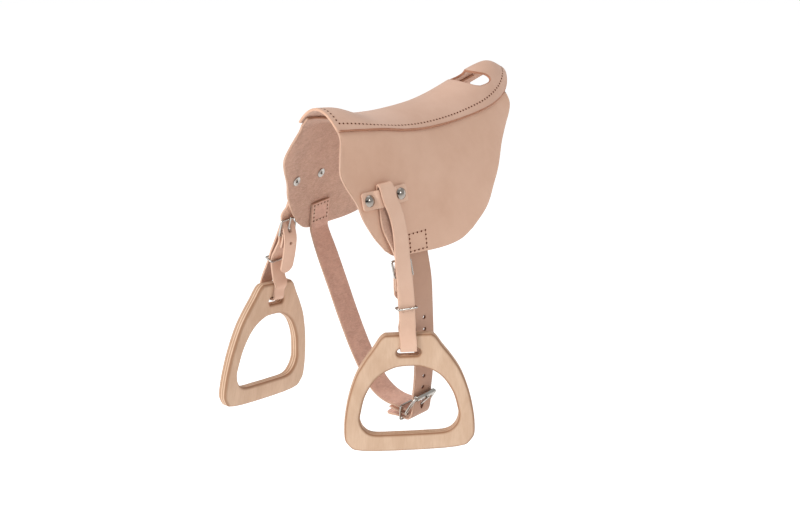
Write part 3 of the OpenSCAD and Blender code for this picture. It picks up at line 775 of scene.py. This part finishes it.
def flesh_leather(name, tone, dark, light):
    """The suede back of the hide: matted fibres lying in streaks, patchy in tone."""
    n = Nodes(name)
    c = n.coords()
    patch = n.noise(c, 58, 6, 0.68, 0.6)
    streak = n.noise(n.coords((1, 0.5, 1.5)), 270, 6, 0.74, 1.6)
    fuzz = n.noise(c, 1500, 3, 0.7)
    col = n.mix(n.ramp(patch, 0.34, 0.68), linear(dark), linear(tone))
    col = n.mix(n.ramp(streak, 0.46, 0.70, 0, 0.75), col, linear(light))
    col = n.mix(n.ramp(streak, 0.44, 0.26, 0, 0.42), col, linear(tuple(0.86 * v for v in dark)))
    col = n.mix(n.ramp(fuzz, 0.45, 0.75, 0, 0.30), col, linear(light))
    col = n.mix(n.ramp(n.attr("rim"), 0.3, 1.6, 0.25, 0.0), col, linear(light))
    normal = n.bump(streak, 0.5, 0.0006)
    normal = n.bump(fuzz, 0.6, 0.00035, normal)
    return n.set(Base_Color=col, Roughness=0.93, Normal=normal, Specular_IOR_Level=0.15,
                 Sheen_Weight=0.35, Sheen_Roughness=0.6)


def cut_leather(name, tone, dark, light, front=None):
    """Cut edge: packed fibres in fine layers. Given front, the edge takes that colour at the pommel end and
    keeps tone behind it, which for the seat is painted shade.
    """
    n = Nodes(name)
    lay = n.noise(n.coords((0.06, 0.06, 1.6), True), 1400, 3, 0.6)
    spot = n.noise(n.coords(), 420, 4, 0.65)
    col = n.mix(n.ramp(lay, 0.35, 0.68), linear(dark), linear(light))
    col = n.mix(n.ramp(spot, 0.35, 0.70, 0, 0.7), col, linear(tone))
    if front:
        # pommel end in the front colour; behind it the darker tone stays as painted shade of the
        # downward-facing sides
        axes = n.new("ShaderNodeSeparateXYZ")
        n.link(n.coords(), axes.inputs[0])
        col = n.mix(n.ramp(axes.outputs["Y"], -0.1055, -0.1085), col, linear(front))
    normal = n.bump(lay, 0.5, 0.0003)
    return n.set(Base_Color=col, Roughness=0.68, Normal=normal, Specular_IOR_Level=0.3)


def waxed_thread(name, tone, dark):
    n = Nodes(name)
    twist = n.new("ShaderNodeTexWave", wave_type="BANDS", bands_direction="DIAGONAL", Scale=620,
                  Distortion=1.5, Detail=2)
    n.link(n.coords(), twist.inputs["Vector"])
    w = twist.outputs["Fac"]
    col = n.mix(n.ramp(w, 0.2, 0.9), linear(dark), linear(tone))
    return n.set(Base_Color=col, Roughness=0.55, Normal=n.bump(w, 0.5, 0.00015))


def hole_shade(name, tone):
    # flat dark colour laid over holes and bores: painted shade of the hollow
    n = Nodes(name)
    spot = n.noise(n.coords(), 1500, 2, 0.6)
    col = n.mix(n.ramp(spot, 0.3, 0.7), linear(tone), linear(tuple(0.6 * v for v in tone)))
    return n.set(Base_Color=col, Roughness=0.9, Specular_IOR_Level=0.1)


def plywood(name, tone, dark, light, cut):
    """Birch ply. On the face: long pale fibres with short dark flecks. Where the rounding cuts
    through the veneers, every other one shows its end grain as a darker line."""
    n = Nodes(name)
    fibre = n.noise(n.coords((9, 1, 1), True), 60, 6, 0.62, 0.35)
    cloud = n.noise(n.coords((2.2, 1, 1), True), 22, 4, 0.55, 0.5)
    fleck = n.cells(n.coords((26, 2.2, 1), True), 95)
    col = n.mix(n.ramp(cloud, 0.32, 0.70), linear(dark), linear(light))
    col = n.mix(0.45, col, linear(tone))
    col = n.mix(n.ramp(fibre, 0.42, 0.72, 0, 0.42), col, linear(dark))
    col = n.mix(n.ramp(fleck, 0.16, 0.05, 0, 0.30), col, linear(cut))
    d = n.attr("depth")
    wob = n.noise(n.coords((1, 1, 1), True), 45, 2, 0.5)
    d = n.math("ADD", d, n.ramp(wob, 0.3, 0.7, -0.10, 0.10))
    ply = n.math("PINGPONG", n.math("ADD", d, 0.55), 1.5)
    band = n.ramp(ply, 0.62, 0.88)
    inner = n.ramp(n.math("ABSOLUTE", n.math("SUBTRACT", d, PLY / 2)), PLY / 2 - 0.35, PLY / 2 - 0.75)
    band = n.math("MULTIPLY", band, inner)
    col = n.mix(n.math("MULTIPLY", band, 0.62), col, linear(cut))
    pale = n.math("MULTIPLY", n.ramp(ply, 0.42, 0.15), inner)
    col = n.mix(n.math("MULTIPLY", pale, 0.45), col, linear(light))
    near = n.math("SUBTRACT", PLY / 2, n.math("ABSOLUTE", n.math("SUBTRACT", d, PLY / 2)))
    line = n.math("MULTIPLY", n.ramp(near, 0.15, 0.7), n.ramp(near, 3.4, 1.5))
    col = n.mix(n.math("MULTIPLY", line, 0.68), col, linear(cut))
    wear = n.math("MULTIPLY", n.ramp(n.attr("rim"), 2.2, 0.0), n.ramp(near, 0.8, 0.1))
    col = n.mix(n.math("MULTIPLY", wear, 0.22), col, linear(cut))
    normal = n.bump(fibre, 0.16, 0.0004)
    normal = n.bump(band, -0.25, 0.00025, normal)
    rough = n.ramp(fibre, 0.3, 0.7, 0.50, 0.66)
    return n.set(Base_Color=col, Roughness=rough, Normal=normal, Specular_IOR_Level=0.35)


def nickel(name, tone, rough):
    n = Nodes(name)
    c = n.coords()
    smear = n.noise(c, 120, 4, 0.6)
    scratch = n.noise(n.coords((1, 14, 1)), 900, 3, 0.7)
    col = n.mix(n.ramp(smear, 0.35, 0.75), linear(tone), linear(tuple(0.88 * v for v in tone)))
    return n.set(Base_Color=col, Metallic=1.0, Roughness=n.ramp(smear, 0.3, 0.75, rough, rough + 0.10),
                 Normal=n.bump(scratch, 0.05, 0.00005))


HIDE_GRAIN = grain_leather("hide grain", (216, 175, 150), (206, 162, 136), (225, 187, 163), 0.0)
SEAT_GRAIN = grain_leather("seat grain", (214, 175, 153), (201, 159, 135), (223, 187, 167), 0.15)
HIDE_FLESH = flesh_leather("hide flesh", (197, 157, 135), (178, 138, 116), (222, 187, 166))
HIDE_CUT = cut_leather("hide cut", (196, 160, 138), (174, 136, 114), (212, 180, 160))
# seat cut edge: the darker tone along the sides is painted shade of the downward-facing edge; the front
# colour is its plain pale edge
SEAT_CUT_SIDE_SHADE = cut_leather("seat cut side shade", (174, 120, 94), (150, 98, 74), (196, 146, 120),
                       (208, 168, 144))
STRAP_GRAIN = grain_leather("strap grain", (223, 183, 159), (211, 169, 143), (232, 197, 175), 0.05)
STRAP_FLESH = flesh_leather("strap flesh", (198, 156, 134), (182, 140, 117), (216, 180, 160))
STRAP_CUT = cut_leather("strap cut", (212, 174, 150), (188, 148, 124), (226, 194, 174))
GIRTH_GRAIN = grain_leather("girth grain", (212, 164, 140), (198, 150, 126), (226, 182, 158))
GIRTH_FLESH = flesh_leather("girth flesh", (219, 173, 152), (198, 152, 132), (238, 199, 180))
BILLET_GRAIN = grain_leather("billet grain", (185, 144, 121), (171, 129, 107), (197, 157, 134))
THREAD = waxed_thread("tan thread", (222, 184, 158), (196, 156, 130))
CREAM = waxed_thread("cream thread", (236, 220, 200), (200, 178, 154))
# dark dishes over the stitch holes: painted shade
AWL_SHADE = hole_shade("awl hole shade", (112, 48, 26))
# near-black colour for the rivets' bores: painted shade of the hollow
BORE_SHADE = hole_shade("rivet bore shade", (38, 34, 32))
# paler painted shade for the stitch holes on the flesh side and the walls of the billet's punched holes
PALE_AWL_SHADE = hole_shade("pale awl hole shade", (140, 98, 78))
BIRCH = plywood("birch ply", (208, 176, 149), (194, 159, 131), (221, 191, 165), (148, 104, 73))
NICKEL = nickel("nickel", (190, 186, 180), 0.13)
# a darker copy of the nickel for the rivet caps: painted dark reflection
NICKEL_DARK_REFLECTION = nickel("rivet nickel dark reflection", (168, 160, 152), 0.12)


def dress(obj, mats, body, nodes=()):
    for m in mats + [mats[-1]] * (4 - len(mats)):
        obj.data.materials.append(m)
    if body:
        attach(obj, body)
    if nodes:
        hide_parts(*nodes)
    return obj


# ---------------------------------------------------------------- seat
side = [(half_w(y), y) for y in np.linspace(-110, 100, 100)]
side += [(half_w(y), y) for y in (100 + 90 * math.sin(math.radians(a)) for a in range(2, 89, 2))]
side[-1] = (1.2, 189.96)
seat_outline = side + [(-x, y) for x, y in reversed(side)]
GRIP_FRONT = [(0, 109), (8, 110.4), (15, 114.2), (20.5, 119), (23.6, 125)]
GRIP_REAR = [(24.2, 132), (23.8, 140), (21.5, 145), (17, 142.8), (12, 137.4), (6, 133), (0, 131.5)]
grip = [tuple(p) for p in smooth(GRIP_FRONT, 4) + smooth(GRIP_REAR, 4)]
grip = grip + [(-x, y) for x, y in reversed(grip[1:-1])]
seat = panel("seat_shell", seat_outline, seat_surf, HIDE, [grip], 3.2, 1.6, 0.8)
dress(seat, [SEAT_GRAIN, HIDE_FLESH, SEAT_CUT_SIDE_SHADE], "saddle", ["seat"])

# ---------------------------------------------------------------- flaps
front = [tuple(p) for p in smooth(FLAP_FRONT, 8)]
rear = [tuple(p) for p in smooth(FLAP_REAR, 8)]
foot = [tuple(p) for p in smooth(FLAP_FOOT, 8)]
top_edge = [(y, edge_z(y) + LAP) for y in np.linspace(164, -107, 130)]
flap_outline = front + foot[1:] + rear[::-1][1:] + top_edge
for k, name in enumerate(("left", "right")):
    flap = panel("flap_skirt_" + name, flap_outline, flap_surf, HIDE, (), 3.6, 1.8, 0.8, 3, bool(k))
    dress(flap, [HIDE_GRAIN, HIDE_FLESH, HIDE_CUT], "saddle", ["flap_" + name])

# ---------------------------------------------------------------- seat seams
def rim_pt(y):
    d = Vector((half_w(y + 0.1) - half_w(y - 0.1), 0.2)).normalized()
    x, yy = max(half_w(y) - SEAM_IN * d[1], 0), y + SEAM_IN * d[0]
    return seat_surf(x, yy)


ys = [lerp(-104, 100, i / 80) for i in range(81)]
ys += [100 + 90 * math.sin(math.radians(a)) for a in range(3, 76, 3)]
rim_line = walk([rim_pt(y)[0] for y in ys], PITCH)
rim_row = [(p, seat_surf(p[0], p[1])[1]) for p in rim_line]
f_end = 1 - (SEAM_IN + 0.66 * PITCH) / half_w(-104)
front_line = walk([seat_f(lerp(-f_end, f_end, i / 40), -104)[0] for i in range(41)], PITCH)
front_row = [(p, seat_surf(p[0], p[1])[1]) for p in front_line]
for k, name in enumerate(("left", "right")):
    o = stitches("seat_seam_" + name, [rim_row], bool(k))
    dress(o, [THREAD, AWL_SHADE], "saddle", ["seat_stitching_" + name])
o = stitches("seat_seam_front", [front_row])
dress(o, [THREAD, AWL_SHADE], "saddle", ["seat_stitching_front"])

# ---------------------------------------------------------------- tabs
half = [(0, tab_rise + 0.1), (5, tab_rise + 0.05), (10.9, tab_rise - 0.05), (13, tab_low + 1.5),
        (15, tab_low + 0.25), (20, tab_low + 0.1), (25, tab_low + 0.05), (30, tab_low)]
tab_line = [tab_pt(-s, 0, h) for s, h in reversed(half[1:])] + [tab_pt(s, 0, h) for s, h in half]
tab_run = Run(tab_line, [tab_up] * len(tab_line), 8)
for k, name in enumerate(("left", "right")):
    o = strap("tab_" + name, tab_run, TAB_W, corner=3.2, mirror=bool(k), pitch=1.8, step=1.2,
              outside=-1 if tab_run.frame(5)[3].dot(tab_n) < 0 else 1)
    dress(o, [STRAP_GRAIN, STRAP_FLESH, STRAP_CUT], "saddle", ["keeper_tab_" + name])


# ---------------------------------------------------------------- stirrup leathers
def spread_yaw(angles, n):
    a = [Vector((v, 0, 0)) for v in angles]
    return [yaw(on(a, i / (n - 1))[0]) for i in range(n)]


def loop_wide(k):
    """Width directions of the loop: the slot's own, easing to the runs' at both ends."""
    n, w, e = len(foot_loop[k]), stirrup_axes(k)[0], yaw((31, 0)[k])
    return [e, e.lerp(w, 0.6)] + [w] * (n - 4) + [e.lerp(w, 0.6), e]


for k, name in enumerate(("left", "right")):
    parts = [(list(reversed(tail[k])), list(reversed(spread_yaw(tail_yaw[k], len(tail[k]))))),
             (list(reversed(bight[k])), [tab_along] * len(bight[k])),
             (outer_run[k], spread_yaw(outer_yaw[k], len(outer_run[k]))),
             (foot_loop[k], loop_wide(k)),
             (list(reversed(chape[k])), list(reversed(spread_yaw(chape_yaw[k], len(chape[k])))))]
    run = Run([p for pts, _ in parts for p in pts], [a for _, acr in parts for a in acr])
    # the outer run passes the keeper on the way down; everything before it is the upper piece
    top_s = run.place(lambda p: (p - bight[k][3]).length - 2.5)
    cut = next(run.s[i] for i in range(len(run.s)) if run.s[i] > top_s + 20 and run.p[i][2] < KEEPER_Z[k])
    grain = 1 if run.frame(top_s + 60)[3].dot(V(1, -0.2, 0)) > 0 else -1
    mid = (buckle_top[k] + buckle_heel[k]) / 2
    eye = run.place(lambda p: p[2] - mid[2] - 1)
    hole = stadium(eye, 7.6, 2.5)
    spare = [oval(eye - 20, 0, 1.5, 1.5, 14)]
    upper = strap("leather_upper_" + name, run, LEATHER_W, 0, cut, 9, 0, holes=[hole] + spare,
                  mirror=bool(k), flat_ends=(False, True), outside=grain, pitch=2.6, step=1.5)
    dress(upper, [STRAP_GRAIN, STRAP_FLESH, STRAP_CUT], None,
          ["leather_bight_" + name, "leather_outer_run_" + name, "leather_tail_" + name])
    heel_s = run.length - 16 - math.pi / 2 * fold
    slit = oval(heel_s, 0, 5.5, 2.2)
    lower = strap("leather_lower_" + name, run, LEATHER_W, cut, None, 0, 0, holes=[slit],
                  mirror=bool(k), flat_ends=(True, False), outside=grain, pitch=2.6, step=1.5)
    dress(lower, [STRAP_GRAIN, STRAP_FLESH, STRAP_CUT], None,
          ["leather_chape_" + name, "leather_foot_loop_" + name])
    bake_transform(upper)
    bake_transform(lower)

# ---------------------------------------------------------------- stirrups
STIRRUP_HALF = [(0, 25), (3, 29.5), (15, 37.6), (29, 47.6), (46, 57.5), (72, 66.4), (97, 71.3),
                (115, 72.7), (126, 71.8), (133, 67.5)]
OPENING_HALF = [(41, 19.4), (47.5, 31), (57, 40), (73, 48.7), (91, 53.4), (101, 54.6), (112, 50.5)]


def both(p):
    return p + [(-x, y) for x, y in reversed(p)]


def depth_line(p, n):
    lo, hi = p[0][0], p[-1][0]
    return [(at(p, lerp(lo, hi, i / n)), SLOT_DEPTH - lerp(lo, hi, i / n)) for i in range(n + 1)]


FOOT_CORNER = [(136.2, 64.5), (137.8, 61.5), (139.5, 52), (140.5, 38), (141, 15)]
outer = both([(20, SLOT_DEPTH)] + depth_line(STIRRUP_HALF, 70)
             + [(w, SLOT_DEPTH - d) for d, w in FOOT_CORNER])
ring = both([(9, SLOT_DEPTH - 38.3)] + [(w, SLOT_DEPTH - d) for d, w in OPENING_HALF]
            + [(40, SLOT_DEPTH - 119), (15, SLOT_DEPTH - 120)])
ring = [Vector(p) for p in ring[-2:] + ring + ring[:3]]
opening = [tuple(on(ring, i / (9 * (len(ring) - 1)))) for i in range(18, 9 * (len(ring) - 3))]
slot = [(s * (SLOT_LEN - SLOT_H) / 2 + SLOT_H / 2 * math.cos(a), SLOT_H / 2 * math.sin(a))
        for s, lo in ((1, -90), (-1, 90)) for a in (math.radians(lo + 15 * i) for i in range(13))]
for k, name in enumerate(("left", "right")):
    w, n, u = stirrup_axes(k)

    def board(s, up):
        return slot_at[k] + s * w + up * u + n * (PLY / 2), n

    o = panel("stirrup_board_" + name, outer, board, PLY, [opening, slot], 4.0, 2.0, 3.4, 7, bool(k))
    dress(o, [BIRCH, BIRCH, BIRCH], "foot_" + name, ["stirrup_" + name])

# ---------------------------------------------------------------- girth
girth = Run(girth_line, [lying(1)] * 5 + [V(0, 1, 0)] * (len(girth_line) - 5), 8)
bar_s = girth.place(lambda p: -1.0 if (p - girth_bar).length > girth_fold + 0.4 else 1.0)
o = strap("girth_band", girth, GIRTH_W, holes=[oval(bar_s + 4, 0, 8, 2.3)], outside=-1
          if girth.frame(200)[3].dot(V(-1, 0, -1)) < 0 else 1, pitch=3.2)
dress(o, [GIRTH_GRAIN, GIRTH_FLESH, HIDE_CUT], "saddle", ["girth_strap"])
billet = Run(billet_line, [lying(0)] * 5 + [V(0, 1, 0)] * (len(billet_line) - 5), 8)
punched = [oval(billet.place(lambda p, z=z: p[2] - z), 0, 1.7, 1.7, 16)
           for z in (-299.7, -285.5, -271.3, -257.1, -242.9, -228.7, -214.5)]
punched.append(oval(billet.place(lambda p: p[2] + 319), 0, 7.5, 2.3))
o = strap("girth_billet_strap", billet, GIRTH_W, tip1=18, holes=punched, outside=1
          if billet.frame(100)[3].dot(V(1, 0, 0)) > 0 else -1, pitch=3.2)
# slot 3, the walls of the punched holes, is coloured darker as painted shade inside the holes
dress(o, [BILLET_GRAIN, GIRTH_FLESH, STRAP_CUT, PALE_AWL_SHADE], "saddle", ["girth_billet"])
for k, name in enumerate(("left", "right")):
    rows = []
    corner_yz = [(SEWN_Y[k] + a * BOX[0], SEWN_Z[k] + b * BOX[1])
                 for a, b in ((-1, -1), (1, -1), (1, 1), (-1, 1), (-1, -1))]
    for off, d in ((0.05, 1), (-strap_off - STRAP / 2 - 0.1, -1)):
        q = [(lerp(a[0], b[0], j / 4), lerp(a[1], b[1], j / 4))
             for a, b in zip(corner_yz, corner_yz[1:]) for j in range(4)] + [corner_yz[0]]
        rows.append([(off_flap(p[0], p[1], off), flap_n(p[0], p[1]) * d) for p in q])
    o = stitches("girth_seam_" + name, rows[:1], bool(k))
    dress(o, [THREAD, AWL_SHADE], "saddle", ["girth_stitching_" + name])
    o = stitches("girth_seam_inside_" + name, rows[1:], bool(k), 1.1)
    dress(o, [CREAM, PALE_AWL_SHADE], "saddle")

# ---------------------------------------------------------------- rivets' inner heads
def turned(name, profile, centres, axis, mirror):
    """A surface turned round axis at each centre; profile is a list of (radius, height)."""
    verts, faces, sides = [], [], 40
    d = axis.orthogonal().normalized()
    e = axis.cross(d)
    sign = -1 if mirror else 1
    for c in centres:
        base = len(verts)
        for r, h in profile:
            for i in range(sides):
                a = 2 * math.pi * i / sides
                q = c + axis * h + (d * math.cos(a) + e * math.sin(a)) * r
                verts.append((sign * q[0] / 1000, q[1] / 1000, (q[2] + LIFT) / 1000))
        for j in range(len(profile) - 1):
            for i in range(sides):
                a, b = base + j * sides + i, base + j * sides + (i + 1) % sides
                faces.append((a, b, b + sides, a + sides))
        last = base + (len(profile) - 1) * sides
        faces.append(tuple(last + i for i in range(sides)))
        faces.append(tuple(base + i for i in reversed(range(sides))))
    mesh = bpy.data.meshes.new(name)
    mesh.from_pydata(verts, [], faces)
    mesh.polygons.foreach_set("use_smooth", [len(f) < 5 for f in faces])
    bm = bmesh.new()
    bm.from_mesh(mesh)
    bmesh.ops.recalc_face_normals(bm, faces=bm.faces)
    bm.to_mesh(mesh)
    bm.free()
    obj = bpy.data.objects.new(name, mesh)
    scene.collection.objects.link(obj)
    return obj


HEAD = [(5.5, 0), (5.55, 0.3), (5.3, 0.62), (4.9, 0.78), (4.3, 0.74), (3.9, 0.5), (3.3, 0.42), (2.9, 0.5),
        (2.5, 0.85), (2.1, 0.95), (1.75, 0.8), (1.6, 0.4), (1.55, 0.08)]
# a dark disc sitting in each rivet's bore, painted shade of the hollow
BORE = [(1.5, 0.05), (1.5, 0.12), (0.7, 0.1)]
for k, name in enumerate(("left", "right")):
    under = [tab_pt(s, 0, -HIDE - 0.5) for s in RIVETS]
    o = turned("rivet_head_" + name, HEAD, under, -tab_n, bool(k))
    dress(o, [NICKEL], "saddle", ["rivet_posts_" + name])
    # dark disc in the bore: painted shade
    o = turned("rivet_bore_shade_" + name, BORE, under, -tab_n, bool(k))
    dress(o, [BORE_SHADE], "saddle")

# ---------------------------------------------------------------- metal keeps its CAD shape
for n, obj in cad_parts.items():
    if obj.hide_render:
        continue
    # the rivet caps take the darker nickel copy, a painted dark reflection
    mat = NICKEL_DARK_REFLECTION if n.startswith("rivet_caps") else NICKEL
    for s in obj.material_slots:
        s.material = mat
    if not obj.material_slots:
        obj.data.materials.append(mat)

# ---------------------------------------------------------------- stage, lights, camera
AZ, EL = math.radians(42.92), math.radians(20.46)
CAM_BACK, CAM_RIGHT, CAM_UP = 1397.5, 10.23, -173.14
FLOOR_DROP = 0.35
back = V(math.sin(AZ) * math.cos(EL), -math.cos(AZ) * math.cos(EL), math.sin(EL))
right = V(math.cos(AZ), math.sin(AZ), 0)
up = back.cross(right)
cam = bpy.data.cameras.new("camera")
cam.lens, cam.sensor_width = 57.52, 36
cam_obj = bpy.data.objects.new("camera", cam)
pos = CAM_BACK * back + CAM_RIGHT * right + CAM_UP * up + V(0, 0, LIFT)
m = Matrix((right, up, back)).transposed().to_4x4()
m.translation = pos / 1000
cam_obj.matrix_world = m
scene.collection.objects.link(cam_obj)
scene.camera = cam_obj

floor_mesh = bpy.data.meshes.new("floor")
floor_z = cad_box[0][2] - FLOOR_DROP
floor_mesh.from_pydata([(-9, -9, floor_z), (9, -9, floor_z), (9, 9, floor_z), (-9, 9, floor_z)], [],
                       [(0, 1, 2, 3)])
floor = bpy.data.objects.new("floor", floor_mesh)
scene.collection.objects.link(floor)
nf = Nodes("floor")
nf.set(Base_Color=(0.98, 0.98, 0.98, 1), Roughness=0.9, Specular_IOR_Level=0.0,
       Emission_Color=(1, 1, 1, 1), Emission_Strength=0.42)
floor.data.materials.append(nf.m)


def lamp(name, where, target, size, power, tint=(1, 1, 1)):
    l = bpy.data.lights.new(name, "AREA")
    l.shape, l.size, l.energy, l.color = "DISK", size, power, tint
    o = bpy.data.objects.new(name, l)
    o.location = where
    o.rotation_euler = (Vector(target) - Vector(where)).to_track_quat("-Z", "Y").to_euler()
    scene.collection.objects.link(o)


def studio(r, u, b):
    """A place in metres given along the view: to the right, up, and toward the camera."""
    return tuple((r * right + u * up + b * back) + V(0, 0, -0.1))


lamp("key", studio(-1.9, 0.75, 1.5), (0, 0, -0.1), 0.8, 41, (1, 0.99, 0.975))
lamp("top", (0.2, 0.6, 2.4), (0, 0, -0.1), 1.6, 5)
lamp("rim", studio(1.9, 0.5, -1.0), (0, 0, -0.1), 1.2, 3)
lamp("glint", studio(1.2, 0.5, 1.6), (0, 0, -0.1), 0.25, 3.5)
card_mesh = bpy.data.meshes.new("card")
half_r, half_u = right * 0.8, up * 0.55
mid = V(*studio(0.1, -0.1, 2.4))
card_mesh.from_pydata([tuple(mid + a * half_r + b * half_u) for a, b in ((-1, -1), (1, -1), (1, 1), (-1, 1))],
                      [], [(0, 1, 2, 3)])
card = bpy.data.objects.new("card", card_mesh)
scene.collection.objects.link(card)
nc = Nodes("card")
nc.set(Base_Color=(0.02, 0.02, 0.022, 1), Roughness=0.8)
card.data.materials.append(nc.m)
card.visible_camera = False
world = bpy.data.worlds.new("world")
scene.world = world
world.use_nodes = True
world.node_tree.nodes["Background"].inputs[0].default_value = (1, 1, 1, 1)
world.node_tree.nodes["Background"].inputs[1].default_value = 0.58
scene.view_settings.view_transform = "Standard"
scene.view_settings.look = "None"
